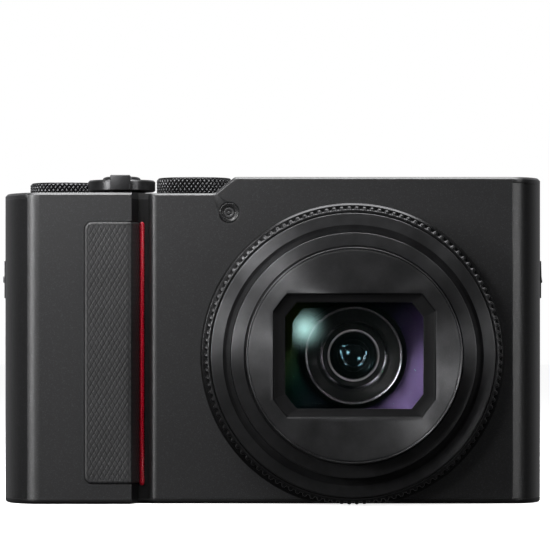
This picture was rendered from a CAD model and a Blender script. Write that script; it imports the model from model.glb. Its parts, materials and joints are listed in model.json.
import json
import math

import bmesh
import bpy
import numpy as np
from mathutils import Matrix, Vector


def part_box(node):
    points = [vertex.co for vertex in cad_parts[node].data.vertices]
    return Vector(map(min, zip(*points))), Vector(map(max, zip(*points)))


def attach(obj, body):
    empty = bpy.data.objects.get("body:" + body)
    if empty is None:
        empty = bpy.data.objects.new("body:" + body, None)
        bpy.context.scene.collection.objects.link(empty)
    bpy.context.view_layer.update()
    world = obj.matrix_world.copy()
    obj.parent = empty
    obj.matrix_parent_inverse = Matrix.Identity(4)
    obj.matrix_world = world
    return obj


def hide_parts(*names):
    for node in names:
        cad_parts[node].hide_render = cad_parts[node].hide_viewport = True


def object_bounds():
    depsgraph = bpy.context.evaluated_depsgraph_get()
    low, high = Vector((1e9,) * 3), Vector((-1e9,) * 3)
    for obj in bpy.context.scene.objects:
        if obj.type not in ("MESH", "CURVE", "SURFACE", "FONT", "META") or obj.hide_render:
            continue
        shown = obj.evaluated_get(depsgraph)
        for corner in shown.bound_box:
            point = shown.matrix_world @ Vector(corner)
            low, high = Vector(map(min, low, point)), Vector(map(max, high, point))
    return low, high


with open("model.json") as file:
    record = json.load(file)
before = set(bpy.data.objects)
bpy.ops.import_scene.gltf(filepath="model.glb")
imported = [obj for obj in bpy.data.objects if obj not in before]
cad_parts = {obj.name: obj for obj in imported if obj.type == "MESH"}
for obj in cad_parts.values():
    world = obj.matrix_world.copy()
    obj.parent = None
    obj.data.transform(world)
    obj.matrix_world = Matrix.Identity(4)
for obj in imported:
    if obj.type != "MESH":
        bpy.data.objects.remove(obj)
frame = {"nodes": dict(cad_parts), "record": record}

MM = 0.001
CAD_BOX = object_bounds()


def B(node):
    lo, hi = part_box(node)
    return np.array(lo) * 1000.0, np.array(hi) * 1000.0


NODE_BODY = {n: b for b, ns in frame["record"]["behaviour"]["bodies"].items() for n in ns}

# places read from the frame, in millimetres
_lo, _hi = B("lens_sleeve")
LX, LZ = (_lo[0] + _hi[0]) / 2, (_lo[2] + _hi[2]) / 2
Y_TRIM, R_SLEEVE = _lo[1], (_hi[0] - _lo[0]) / 2
Y_RING0, Y_RING1 = B("control_ring")[0][1], B("control_ring")[1][1]
R_RING = (B("control_ring")[1][0] - B("control_ring")[0][0]) / 2
R_BASE, Y_BASE = (B("lens_base_ring")[1][0] - B("lens_base_ring")[0][0]) / 2, B("lens_base_ring")[0][1]
Y_PANEL = B("front_cover")[0][1]
Y_B, R_B = B("barrel_outer")[0][1], (B("barrel_outer")[1][0] - B("barrel_outer")[0][0]) / 2
Y_B1 = B("barrel_outer")[1][1]
Y_C, R_C = B("barrel_inner")[0][1], (B("barrel_inner")[1][0] - B("barrel_inner")[0][0]) / 2
Y_C1 = B("barrel_inner")[1][1]
Y_G = B("front_element")[0][1]

# ------------------------------------------------------------------ node materials


def tree(name):
    m = bpy.data.materials.new(name)
    m.use_nodes = True
    nt = m.node_tree
    nt.nodes.clear()
    out = nt.nodes.new("ShaderNodeOutputMaterial")
    b = nt.nodes.new("ShaderNodeBsdfPrincipled")
    nt.links.new(b.outputs[0], out.inputs[0])
    return m, nt, b


def N(nt, kind, props=None, **ins):
    n = nt.nodes.new(kind)
    for k, v in (props or {}).items():
        setattr(n, k, v)
    for k, v in ins.items():
        s = n.inputs[int(k[1:])] if k[0] == "i" and k[1:].isdigit() else n.inputs[k.replace("_", " ")]
        if isinstance(v, bpy.types.NodeSocket):
            nt.links.new(v, s)
        else:
            s.default_value = v
    return n


def S(nt, b, **ins):
    for k, v in ins.items():
        s = b.inputs[k.replace("_", " ")]
        if isinstance(v, bpy.types.NodeSocket):
            nt.links.new(v, s)
        else:
            s.default_value = v


def coord(nt):
    return N(nt, "ShaderNodeTexCoord").outputs["Object"]


def noise(nt, co, scale, detail=2.0, rough=0.5):
    return N(nt, "ShaderNodeTexNoise", Vector=co, Scale=scale, Detail=detail, Roughness=rough).outputs[0]


def stretch(nt, co, x=1, y=1, z=1):
    return N(nt, "ShaderNodeMapping", Vector=co, Scale=(x, y, z)).outputs[0]


def ramp(nt, fac, stops):
    n = N(nt, "ShaderNodeValToRGB", Fac=fac)
    el = n.color_ramp.elements
    while len(el) < len(stops):
        el.new(0.5)
    for e, (p, c) in zip(el, stops):
        e.position = p
        e.color = (c, c, c, 1) if isinstance(c, (int, float)) else (*c, 1)
    return n.outputs[0]


def rng(nt, v, a0, a1, b0, b1):
    return N(nt, "ShaderNodeMapRange", Value=v, From_Min=a0, From_Max=a1, To_Min=b0, To_Max=b1).outputs[0]


def mixc(nt, f, a, b):
    n = N(nt, "ShaderNodeMix", {"data_type": "RGBA"}, Factor=f)
    for s, v in ((n.inputs[6], a), (n.inputs[7], b)):
        if isinstance(v, bpy.types.NodeSocket):
            nt.links.new(v, s)
        else:
            s.default_value = (*v, 1) if len(v) == 3 else v
    return n.outputs[2]


def math_(nt, op, a, b=0.0, c=0.0):
    n = nt.nodes.new("ShaderNodeMath")
    n.operation = op
    for s, v in zip(n.inputs, (a, b, c)):
        if isinstance(v, bpy.types.NodeSocket):
            nt.links.new(v, s)
        else:
            s.default_value = v
    return n.outputs[0]


def bump(nt, h, dist, strength=1.0, normal=None):
    n = N(nt, "ShaderNodeBump", Height=h, Distance=dist, Strength=strength)
    if normal is not None:
        nt.links.new(normal, n.inputs["Normal"])
    return n.outputs[0]


def edge_mask(nt, radius):
    """Near 1 along the edges of a piece, where handling polishes it."""
    bev = N(nt, "ShaderNodeBevel", {"samples": 4}, Radius=radius).outputs[0]
    geo = N(nt, "ShaderNodeNewGeometry").outputs["Normal"]
    d = N(nt, "ShaderNodeVectorMath", {"operation": "DOT_PRODUCT"}, i0=bev, i1=geo).outputs["Value"]
    return rng(nt, d, 0.995, 0.9, 0.0, 1.0)


def paint(name="charcoal_paint", k=1.0):
    """Satin charcoal paint: fine metallic speckle, faint orange peel, polished edges."""
    m, nt, b = tree(name)
    co = coord(nt)
    grain = noise(nt, co, 9500, 2.0, 0.6)
    cloud = noise(nt, co, 90, 3.0, 0.55)
    flake = N(nt, "ShaderNodeTexVoronoi", {"feature": "F1"}, Vector=co, Scale=6200).outputs["Color"]
    flake = N(nt, "ShaderNodeSeparateColor", Color=flake).outputs[0]
    spark = rng(nt, flake, 0.80, 1.0, 0.0, 1.0)
    base = ramp(nt, grain, [(0.30, (0.0088 * k, 0.0088 * k, 0.0093 * k)), (0.72, (0.0250 * k, 0.0250 * k, 0.0260 * k))])
    base = mixc(nt, rng(nt, cloud, 0.3, 0.7, 0.0, 0.35), base, (0.0140 * k, 0.0140 * k, 0.0150 * k))
    base = mixc(nt, math_(nt, "MULTIPLY", spark, 0.5), base, (0.11, 0.11, 0.115))
    worn = math_(nt, "MULTIPLY", edge_mask(nt, 0.00022), rng(nt, noise(nt, co, 700, 3.0), 0.35, 0.7, 0.25, 1.0))
    base = mixc(nt, math_(nt, "MULTIPLY", worn, 0.45), base, (0.12, 0.12, 0.125))
    rough = rng(nt, grain, 0.25, 0.75, 0.31, 0.43)
    rough = math_(nt, "SUBTRACT", rough, math_(nt, "MULTIPLY", worn, 0.08))
    peel = bump(nt, noise(nt, co, 1500, 2.0), 0.000006)
    S(nt, b, Base_Color=base, Roughness=rough, Metallic=rng(nt, spark, 0.0, 1.0, 0.12, 0.75),
      Normal=bump(nt, grain, 0.0000085, 1.0, peel))
    b.inputs["Specular IOR Level"].default_value = 0.55
    return m


def turned(name, axis, base=0.028, rough=0.30, aniso=0.75, tint=1.0, groove=0.0000035):
    """Black anodised metal turned on a lathe: circular tool marks and the streaks of light they make."""
    m, nt, b = tree(name)
    co = coord(nt)
    c = {"Y": (LX * MM, 0, LZ * MM)}.get(axis, None)
    gen = N(nt, "ShaderNodeTexCoord").outputs["Generated"]
    cen = N(nt, "ShaderNodeVectorMath", {"operation": "SUBTRACT"}, i0=gen, i1=(0.5, 0.5, 0.5)).outputs[0]
    if c:
        cen = N(nt, "ShaderNodeVectorMath", {"operation": "SUBTRACT"}, i0=co, i1=c).outputs[0]
    flat = N(nt, "ShaderNodeVectorMath", {"operation": "MULTIPLY"}, i0=cen,
             i1=(1, 0, 1) if axis == "Y" else (1, 1, 0)).outputs[0]
    rad = N(nt, "ShaderNodeVectorMath", {"operation": "LENGTH"}, i0=flat).outputs["Value"]
    k = 1.0 if c else 0.016
    lines = N(nt, "ShaderNodeTexNoise", {"noise_dimensions": "1D"}, W=math_(nt, "MULTIPLY", rad, 14000 * k), Scale=1.0, Detail=3.0).outputs[0]
    mott = noise(nt, co, 260, 3.0)
    speck = noise(nt, co, 9000, 1.0)
    col = ramp(nt, mott, [(0.3, (base * 0.85, base * 0.85, base * 0.88)), (0.7, (base * 1.2, base * 1.2, base * 1.24 * tint))])
    col = mixc(nt, rng(nt, speck, 0.6, 0.8, 0.0, 0.35), col, (base * 2.2, base * 2.2, base * 2.25))
    worn = math_(nt, "MULTIPLY", edge_mask(nt, 0.00012), rng(nt, noise(nt, co, 900, 3.0), 0.4, 0.7, 0.2, 1.0))
    col = mixc(nt, math_(nt, "MULTIPLY", worn, 0.4), col, (0.16, 0.16, 0.165))
    S(nt, b, Base_Color=col, Roughness=rng(nt, lines, 0.3, 0.7, rough - 0.04, rough + 0.05),
      Normal=bump(nt, lines, groove))
    b.inputs["Metallic"].default_value = 0.85
    b.inputs["Anisotropic"].default_value = aniso
    b.inputs["Anisotropic Rotation"].default_value = 0.25
    if aniso:
        tg = N(nt, "ShaderNodeTangent", {"direction_type": "RADIAL", "axis": axis}).outputs[0]
        nt.links.new(tg, b.inputs["Tangent"])
    return m


def plain(name, color, rough=0.45, metallic=0.0, grain=0.000004, grain_scale=6000, vary=0.25, spec=0.5, worn=0.3, coat=0.0, coat_rough=0.1):
    """Moulded or plated surface with fine grain, faint blotches and rubbed edges."""
    m, nt, b = tree(name)
    co = coord(nt)
    g = noise(nt, co, grain_scale, 2.0, 0.55)
    c = noise(nt, co, 180, 3.0)
    dark = tuple(x * (1 - vary) for x in color)
    lite = tuple(min(1, x * (1 + vary)) for x in color)
    col = mixc(nt, rng(nt, c, 0.3, 0.7, 0.0, 1.0), dark, lite)
    col = mixc(nt, rng(nt, g, 0.55, 0.8, 0.0, 0.3), col, tuple(min(1, x * 1.8 + 0.004) for x in color))
    if worn:
        w = math_(nt, "MULTIPLY", edge_mask(nt, 0.00015), rng(nt, noise(nt, co, 800, 3.0), 0.4, 0.7, 0.1, 1.0))
        col = mixc(nt, math_(nt, "MULTIPLY", w, worn), col, tuple(min(1, x * 2.5 + 0.03) for x in color))
    S(nt, b, Base_Color=col, Roughness=rng(nt, g, 0.3, 0.7, max(0.02, rough - 0.06), rough + 0.06), Normal=bump(nt, g, grain))
    b.inputs["Metallic"].default_value = metallic
    b.inputs["Specular IOR Level"].default_value = spec
    b.inputs["Coat Weight"].default_value = coat
    b.inputs["Coat Roughness"].default_value = coat_rough
    return m


def glass(name, tint, reflect=(1, 1, 1), level=0.5, ior=1.5, film=0.0, film_ior=1.33, rough=0.0, dusty=0.02):
    m, nt, b = tree(name)
    co = coord(nt)
    smear = noise(nt, co, 240, 3.0)
    dust = noise(nt, co, 9000, 1.0)
    S(nt, b, Roughness=math_(nt, "ADD", rng(nt, smear, 0.45, 0.8, rough, rough + 0.012), rng(nt, dust, 0.78, 0.9, 0.0, dusty)))
    b.inputs["Base Color"].default_value = (*tint, 1)
    b.inputs["Transmission Weight"].default_value = 1.0
    b.inputs["IOR"].default_value = ior
    b.inputs["Specular Tint"].default_value = (*reflect, 1)
    b.inputs["Specular IOR Level"].default_value = level
    b.inputs["Thin Film Thickness"].default_value = film
    b.inputs["Thin Film IOR"].default_value = film_ior
    return m


def violet():
    """Dark coated annulus round the inner group: its reflection runs from olive through teal to violet."""
    m, nt, b = tree("violet_coated_annulus")
    co = coord(nt)
    g = noise(nt, co, 420, 3.0)
    sep = N(nt, "ShaderNodeSeparateXYZ", Vector=co)
    dx = math_(nt, "SUBTRACT", sep.outputs[0], LX * MM)
    dz = math_(nt, "SUBTRACT", sep.outputs[2], LZ * MM)
    d = math_(nt, "SUBTRACT", math_(nt, "MULTIPLY", dx, 0.9), math_(nt, "MULTIPLY", dz, 0.44))
    f = rng(nt, d, -0.0145, 0.0155, 0.0, 1.0)
    col = ramp(nt, f, [(0.0, (0.020, 0.026, 0.003)), (0.22, (0.002, 0.012, 0.009)), (0.58, (0.012, 0.008, 0.021)), (1.0, (0.100, 0.076, 0.160))])
    S(nt, b, Base_Color=col, Roughness=rng(nt, g, 0.3, 0.7, 0.44, 0.50))
    b.inputs["Metallic"].default_value = 1.0
    return m


M = {}
M["paint"] = paint()
M["paint_end"] = paint("charcoal_paint_end_covers", 0.45)
M["ring_y"] = turned("anodised_ring", "Y", 0.075, 0.40, 0.95)
M["face_y"] = turned("anodised_face", "Y", 0.085, 0.46, 1.0)
M["cham_y"] = turned("anodised_chamfer", "Y", 0.060, 0.42, 0.9)
M["bezel_y"] = turned("bezel_face", "Y", 0.080, 0.48, 1.0)
M["base_ring"] = turned("anodised_base_ring", "Y", 0.022, 0.28, 0.5)
M["knurl"] = turned("anodised_knurl", "Y", 0.030, 0.30, 0.0)
M["knurl_z"] = plain("anodised_dial_knurl", (0.045, 0.045, 0.047), 0.24, metallic=0.9, grain=0.0, vary=0.1, worn=0.0)
M["groove"] = plain("groove_black", (0.0030, 0.0030, 0.0033), 0.50, grain_scale=7000, spec=0.25, worn=0.0)
M["top_z"] = turned("anodised_dial_top", "Z", 0.070, 0.40, 0.9)
M["lever_z"] = turned("anodised_lever", "Z", 0.045, 0.36, 0.4)
M["frame"] = plain("window_frame_plastic", (0.0046, 0.0046, 0.0050), 0.48, grain_scale=5200, spec=0.15)
M["black"] = plain("base_plate_black", (0.0045, 0.0045, 0.0048), 0.5, grain_scale=5000, spec=0.3, worn=0.15)
M["baffle"] = plain("optical_black", (0.0022, 0.0022, 0.0024), 0.55, vary=0.2, worn=0.0, spec=0.3)
M["baffle_gloss"] = plain("polished_black_edge", (0.050, 0.050, 0.054), 0.20, metallic=0.8, vary=0.2, worn=0.0)
M["grey_ring"] = plain("satin_grey_ring", (0.42, 0.41, 0.42), 0.5, worn=0.0, vary=0.06)
M["bright_edge"] = plain("polished_lens_edge", (0.50, 0.50, 0.53), 0.20, metallic=0.9, worn=0.0, vary=0.1)
M["rubber"] = plain("grip_rubber", (0.020, 0.020, 0.021), 0.50, grain=0.000006, grain_scale=7000, vary=0.2, spec=0.45, worn=0.25)
M["pad"] = plain("grip_pad_rubber", (0.022, 0.022, 0.023), 0.46, grain=0.000005, grain_scale=7000, vary=0.15, spec=0.45, worn=0.0)
M["eye_rubber"] = plain("eyepiece_rubber", (0.011, 0.011, 0.0115), 0.62, grain=0.000008, grain_scale=5000, spec=0.4)
M["plastic"] = plain("black_plastic", (0.016, 0.016, 0.017), 0.36, grain=0.000004, grain_scale=5200)
M["plastic_gloss"] = plain("gloss_black_plastic", (0.008, 0.008, 0.009), 0.14, grain=0.000001, grain_scale=3000, vary=0.15)
M["inner"] = plain("inner_plastic", (0.014, 0.014, 0.015), 0.55)
M["steel_dark"] = plain("blackened_steel", (0.055, 0.055, 0.058), 0.34, metallic=0.9, grain_scale=4200, worn=0.6)
M["nickel"] = plain("nickel_plate", (0.52, 0.50, 0.47), 0.25, metallic=1.0, vary=0.12, worn=0.2)
M["can"] = plain("motor_can", (0.45, 0.45, 0.46), 0.33, metallic=1.0, vary=0.1)
M["battery"] = plain("battery_shell", (0.035, 0.036, 0.040), 0.45, grain_scale=3500)
M["sleeve"] = plain("heat_shrink", (0.012, 0.012, 0.013), 0.22, vary=0.15)
M["white_mark"] = plain("white_print", (0.70, 0.70, 0.68), 0.5, vary=0.05, worn=0.0)
M["foil"] = plain("blade_foil", (0.020, 0.020, 0.021), 0.34, metallic=0.7)
M["lamp"] = plain("smoked_lamp_lens", (0.014, 0.014, 0.0145), 0.26, grain=0.0, vary=0.2, worn=0.1, coat=0.3, coat_rough=0.12)
M["lamp_cup"] = plain("lamp_reflector", (0.060, 0.060, 0.062), 0.34, metallic=0.3, worn=0.0)
M["coat_front"] = glass("coated_glass_front", (0.95, 0.98, 0.97), (0.58, 0.97, 0.93), 0.9, 1.60, dusty=0.0)
M["coat_back"] = glass("coated_glass_back", (0.95, 0.97, 0.98), (0.25, 0.75, 0.45), 0.25, 1.5, dusty=0.0)
M["violet"] = violet()
M["coat_in"] = glass("coated_glass_inner", (0.90, 0.97, 0.98), (0.40, 0.85, 1.0), 1.0, 1.7)
M["eye_glass"] = glass("eyepiece_glass", (0.90, 0.93, 0.95), (0.55, 0.6, 1.0), 0.8, 1.5)


def red_lacquer():
    m, nt, b = tree("red_lacquer")
    co = coord(nt)
    g = noise(nt, co, 5200, 2.0)
    c = noise(nt, stretch(nt, co, 1, 1, 0.05), 1600, 3.0)
    col = ramp(nt, c, [(0.3, (0.42, 0.0020, 0.016)), (0.7, (0.56, 0.0032, 0.022))])
    w = math_(nt, "MULTIPLY", edge_mask(nt, 0.00012), rng(nt, noise(nt, co, 900, 3.0), 0.4, 0.7, 0.1, 1.0))
    col = mixc(nt, math_(nt, "MULTIPLY", w, 0.35), col, (0.75, 0.10, 0.10))
    S(nt, b, Base_Color=col, Roughness=rng(nt, g, 0.3, 0.7, 0.22, 0.32), Normal=bump(nt, g, 0.000002))
    b.inputs["Coat Weight"].default_value = 0.35
    b.inputs["Coat Roughness"].default_value = 0.15
    return m


def pcb():
    m, nt, b = tree("green_circuit_board")
    co = coord(nt)
    brick = N(nt, "ShaderNodeTexBrick", Vector=N(nt, "ShaderNodeMapping", Vector=co, Rotation=(math.radians(90), 0, 0)).outputs[0], Scale=420.0, Mortar_Size=0.035)
    brick.inputs["Color1"].default_value = (0.010, 0.075, 0.038, 1)
    brick.inputs["Color2"].default_value = (0.012, 0.060, 0.032, 1)
    brick.inputs["Mortar"].default_value = (0.030, 0.160, 0.080, 1)
    g = noise(nt, co, 3000, 2.0)
    pads = N(nt, "ShaderNodeTexVoronoi", {"feature": "F1"}, Vector=co, Scale=620).outputs["Distance"]
    col = mixc(nt, rng(nt, pads, 0.16, 0.12, 0.0, 1.0), brick.outputs[0], (0.62, 0.46, 0.18))
    S(nt, b, Base_Color=col, Roughness=rng(nt, g, 0.3, 0.7, 0.25, 0.4), Normal=bump(nt, brick.outputs[1], 0.00002))
    return m


def screen_mat():
    lo, hi = B("screen_unit")
    m, nt, b = tree("screen_glass")
    co = coord(nt)
    sep = N(nt, "ShaderNodeSeparateXYZ", Vector=co)
    cx, cz = (lo[0] + hi[0]) / 2 * MM, (lo[2] + hi[2]) / 2 * MM
    dx = math_(nt, "ABSOLUTE", math_(nt, "SUBTRACT", sep.outputs[0], cx))
    dz = math_(nt, "ABSOLUTE", math_(nt, "SUBTRACT", sep.outputs[2], cz))
    inx = rng(nt, dx, 0.0315, 0.0313, 0.0, 1.0)
    inz = rng(nt, dz, 0.0211, 0.0209, 0.0, 1.0)
    mask = math_(nt, "MULTIPLY", inx, inz)
    cells = N(nt, "ShaderNodeTexBrick", Vector=N(nt, "ShaderNodeMapping", Vector=co, Rotation=(math.radians(90), 0, 0)).outputs[0], Scale=9000.0, Mortar_Size=0.06)
    cells.inputs["Color1"].default_value = (0.011, 0.013, 0.017, 1)
    cells.inputs["Color2"].default_value = (0.013, 0.013, 0.016, 1)
    cells.inputs["Mortar"].default_value = (0.004, 0.004, 0.005, 1)
    col = mixc(nt, mask, (0.0030, 0.0030, 0.0034), cells.outputs[0])
    smear = noise(nt, co, 150, 4.0)
    S(nt, b, Base_Color=col, Roughness=rng(nt, smear, 0.45, 0.8, 0.05, 0.13))
    b.inputs["Coat Weight"].default_value = 1.0
    b.inputs["Coat Roughness"].default_value = 0.02
    return m


def diffuser():
    m, nt, b = tree("flash_diffuser")
    co = coord(nt)
    wv = N(nt, "ShaderNodeTexWave", {"bands_direction": "X"}, Vector=co, Scale=520.0, Distortion=0.0)
    g = noise(nt, co, 2500, 2.0)
    S(nt, b, Base_Color=mixc(nt, wv.outputs[1], (0.62, 0.62, 0.60), (0.85, 0.85, 0.83)), Roughness=rng(nt, g, 0.3, 0.7, 0.12, 0.2), Normal=bump(nt, wv.outputs[1], 0.00006))
    b.inputs["Coat Weight"].default_value = 0.8
    return m


M["red"] = red_lacquer()
M["pcb"] = pcb()
M["screen"] = screen_mat()
M["diffuser"] = diffuser()
M["sensor"] = plain("sensor_glass", (0.03, 0.05, 0.06), 0.08, vary=0.3, grain=0.0, worn=0.1, coat=1.0, coat_rough=0.03)

# ------------------------------------------------------------------ mesh helpers


def make(name, verts, faces, mats, fmat=None, sharp=32.0, smooth=True):
    """Object from vertices in millimetres."""
    me = bpy.data.meshes.new(name)
    me.from_pydata((np.asarray(verts, float) * MM).tolist(), [], [tuple(int(i) for i in f) for f in faces])
    for mt in mats:
        me.materials.append(mt)
    if fmat is not None:
        me.polygons.foreach_set("material_index", np.asarray(fmat, np.int32))
    bm = bmesh.new()
    bm.from_mesh(me)
    bmesh.ops.remove_doubles(bm, verts=bm.verts, dist=1e-8)
    bmesh.ops.dissolve_degenerate(bm, edges=bm.edges, dist=1e-8)
    bmesh.ops.recalc_face_normals(bm, faces=bm.faces)
    bm.to_mesh(me)
    bm.free()
    if smooth:
        me.polygons.foreach_set("use_smooth", [True] * len(me.polygons))
        me.set_sharp_from_angle(angle=math.radians(sharp))
    o = bpy.data.objects.new(name, me)
    bpy.context.scene.collection.objects.link(o)
    return o


def rounded(points, closed=True, seg=4):
    """(a, b, radius) corners to a polyline with small arcs."""
    out = []
    n = len(points)
    for i, p in enumerate(points):
        p0 = np.array(p[:2], float)
        r = p[2] if len(p) > 2 else 0.0
        if r <= 0 or (not closed and i in (0, n - 1)):
            out.append(tuple(p0))
            continue
        a = np.array(points[(i - 1) % n][:2], float) - p0
        c = np.array(points[(i + 1) % n][:2], float) - p0
        la, lc = np.linalg.norm(a), np.linalg.norm(c)
        a, c = a / la, c / lc
        ang = math.acos(max(-1, min(1, float(a @ c))))
        if ang > math.pi - 0.02:
            out.append(tuple(p0))
            continue
        t = min(r / math.tan(ang / 2), la * 0.49, lc * 0.49)
        rr = t * math.tan(ang / 2)
        bis = (a + c) / np.linalg.norm(a + c)
        cen = p0 + bis * (rr / math.sin(ang / 2))
        s, e = p0 + a * t - cen, p0 + c * t - cen
        tot = math.acos(max(-1, min(1, float(s @ e) / (rr * rr + 1e-12))))
        sg = np.sign(s[0] * e[1] - s[1] * e[0])
        for k in range(seg + 1):
            w = tot * k / seg * sg
            out.append((cen[0] + s[0] * math.cos(w) - s[1] * math.sin(w), cen[1] + s[0] * math.sin(w) + s[1] * math.cos(w)))
    return out


def rings(name, ring_list, thetas, centre, axis, mats, band_mat=None, closed=False, caps=(False, False), sharp=32.0):
    """A turned form. ring_list holds (radius or radii per angle, height along the axis or heights per angle)."""
    nt_, nr = len(thetas), len(ring_list)
    V = []
    ct, st = np.cos(thetas), np.sin(thetas)
    for r, h in ring_list:
        r = np.broadcast_to(np.asarray(r, float), (nt_,))
        h = np.broadcast_to(np.asarray(h, float), (nt_,))
        if axis == "Y":
            V.append(np.stack([centre[0] + r * ct, h, centre[1] + r * st], 1))
        else:
            V.append(np.stack([centre[0] + r * ct, centre[1] + r * st, h], 1))
    V = np.concatenate(V)
    F, FM = [], []
    last = nr if closed else nr - 1
    for k in range(last):
        k2 = (k + 1) % nr
        for i in range(nt_):
            j = (i + 1) % nt_
            F.append((k * nt_ + i, k * nt_ + j, k2 * nt_ + j, k2 * nt_ + i))
            FM.append(0 if band_mat is None else band_mat[k])
    extra = []
    for end, k in ((caps[0], 0), (caps[1], nr - 1)):
        if end:
            F.append(tuple(k * nt_ + i for i in range(nt_)))
            FM.append(0 if band_mat is None else band_mat[min(k, len(band_mat) - 1)])
    return make(name, V, F, mats, FM, sharp)


def lathe(name, profile, centre, axis, mats, n=256, seg=4, band=None, sharp=32.0, closed=True):
    """profile: (radius, height, corner radius[, material]) round the section."""
    pts = rounded([p[:3] for p in profile], closed, seg)
    # the material of a band is that of the profile's side it lies on
    bm_ = None
    if any(len(p) > 3 for p in profile):
        sides = [p[3] if len(p) > 3 else 0 for p in profile]
        bm_ = []
        count = len(pts)
        corner = np.array([p[:2] for p in profile], float)
        for k in range(count if closed else count - 1):
            mid = (np.array(pts[k]) + np.array(pts[(k + 1) % count])) / 2
            best, bd = 0, 1e9
            for s in range(len(profile) if closed else len(profile) - 1):
                a, c = corner[s], corner[(s + 1) % len(profile)]
                d = c - a
                t = max(0, min(1, float((mid - a) @ d) / float(d @ d)))
                dd = float(np.linalg.norm(a + d * t - mid))
                if dd < bd - 1e-9:
                    best, bd = s, dd
            bm_.append(sides[best])
    th = np.linspace(0, 2 * math.pi, n, endpoint=False)
    return rings(name, [(max(r, 0.0), h) for r, h in pts], th, centre, axis, mats, bm_, closed, sharp=sharp)


def join(objs, name):
    """Several meshes as one piece."""
    bm = bmesh.new()
    mats = []
    for o in objs:
        me = o.data
        idx = []
        for mt in me.materials:
            if mt not in mats:
                mats.append(mt)
            idx.append(mats.index(mt))
        first = len(bm.faces)
        bm.from_mesh(me)
        bm.faces.ensure_lookup_table()
        for f in bm.faces[first:]:
            f.material_index = idx[f.material_index] if idx else 0
    me = bpy.data.meshes.new(name)
    bm.to_mesh(me)
    bm.free()
    for mt in mats:
        me.materials.append(mt)
    for o in objs:
        bpy.data.objects.remove(o)
    o = bpy.data.objects.new(name, me)
    bpy.context.scene.collection.objects.link(o)
    return o


def block(name, lo, hi, bevel, mats, seg=3, sharp=40.0, only=None):
    """A rounded block in millimetres."""
    bm = bmesh.new()
    bmesh.ops.create_cube(bm, size=1.0)
    for v in bm.verts:
        v.co = Vector([(lo[i] + hi[i]) / 2 + v.co[i] * (hi[i] - lo[i]) for i in range(3)]) * MM
    ed = [e for e in bm.edges if only is None or only(e)]
    bmesh.ops.bevel(bm, geom=ed, offset=bevel * MM, segments=seg, profile=0.5, affect="EDGES", clamp_overlap=True)
    me = bpy.data.meshes.new(name)
    bm.to_mesh(me)
    bm.free()
    for mt in mats:
        me.materials.append(mt)
    me.polygons.foreach_set("use_smooth", [True] * len(me.polygons))
    me.set_sharp_from_angle(angle=math.radians(sharp))
    o = bpy.data.objects.new(name, me)
    bpy.context.scene.collection.objects.link(o)
    return o


def put(o, node, body=None, replace=True):
    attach(o, body or NODE_BODY[node])
    if replace:
        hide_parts(node)
    return o


def refined(node, mat, bevel=0.12, seg=2, angle=34.0, name=None, pick=None, cuts=(), bend=None):
    """The CAD piece with its facets merged and every hard edge rounded, so that edges catch the light."""
    src = frame["nodes"][node].data
    bm = bmesh.new()
    bm.from_mesh(src)
    bmesh.ops.remove_doubles(bm, verts=bm.verts, dist=1e-6)
    bmesh.ops.dissolve_limit(bm, angle_limit=math.radians(0.4), verts=bm.verts, edges=bm.edges, use_dissolve_boundaries=False)
    bmesh.ops.dissolve_degenerate(bm, edges=bm.edges, dist=1e-7)
    bm.normal_update()
    if bevel:
        ed = []
        for e in bm.edges:
            if len(e.link_faces) == 2 and e.calc_face_angle(0.0) > math.radians(angle) and (pick is None or pick(e)):
                ed.append(e)
        bmesh.ops.bevel(bm, geom=ed, offset=bevel * MM, segments=seg, profile=0.5, affect="EDGES", clamp_overlap=True, miter_outer="ARC")
    for x in cuts:
        bmesh.ops.bisect_plane(bm, geom=bm.verts[:] + bm.edges[:] + bm.faces[:], dist=1e-7, plane_co=(x * MM, 0, 0), plane_no=(1, 0, 0))
    bmesh.ops.triangulate(bm, faces=[f for f in bm.faces if len(f.verts) > 4], quad_method="BEAUTY", ngon_method="BEAUTY")
    if bend:
        for v in bm.verts:
            v.co.y = bend(v.co.x / MM, v.co.y / MM, v.co.z / MM) * MM
    me = bpy.data.meshes.new(name or node + "_skin")
    bm.to_mesh(me)
    bm.free()
    me.materials.clear()
    for mt in (mat if isinstance(mat, (list, tuple)) else [mat]):
        me.materials.append(mt)
    me.polygons.foreach_set("material_index", [0] * len(me.polygons))
    me.polygons.foreach_set("use_smooth", [True] * len(me.polygons))
    me.set_sharp_from_angle(angle=math.radians(38))
    o = bpy.data.objects.new(me.name, me)
    bpy.context.scene.collection.objects.link(o)
    wn = o.modifiers.new("weighted", "WEIGHTED_NORMAL")
    wn.keep_sharp = True
    wn.weight = 100
    return put(o, node)


TH = np.linspace(0, 2 * math.pi, 384, endpoint=False)

# ------------------------------------------------------------------ covers
XL = B("front_cover")[0][0]
XS0, XS1 = B("side_cover_left")[1][0], B("side_cover_right")[0][0]


def panel_edge(x, y, z):
    """The panel's left edge rolls gently into the groove."""
    if x < XL + 1.8 and y < Y_PANEL + 1.15:
        t = 0.9 * min(1.0, (XL + 1.8 - x) / 1.8)
        return max(y, min(Y_PANEL + 1.16, Y_PANEL + 1.16 * (1 - math.sqrt(1 - t * t)) / (1 - math.sqrt(0.19))))
    return y


def crease_left(x, y, z):
    """The end covers dip at their seams."""
    d = max(0.0, XS0 - x)
    return y + 0.35 * d * math.exp(-d / 1.6) * min(1.0, max(0.0, (-y - 5.0) / 4.0))


def crease_right(x, y, z):
    d = max(0.0, x - XS1)
    return y + 0.42 * d * math.exp(-d / 1.8) * min(1.0, max(0.0, (-y - 5.0) / 4.0))


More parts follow.
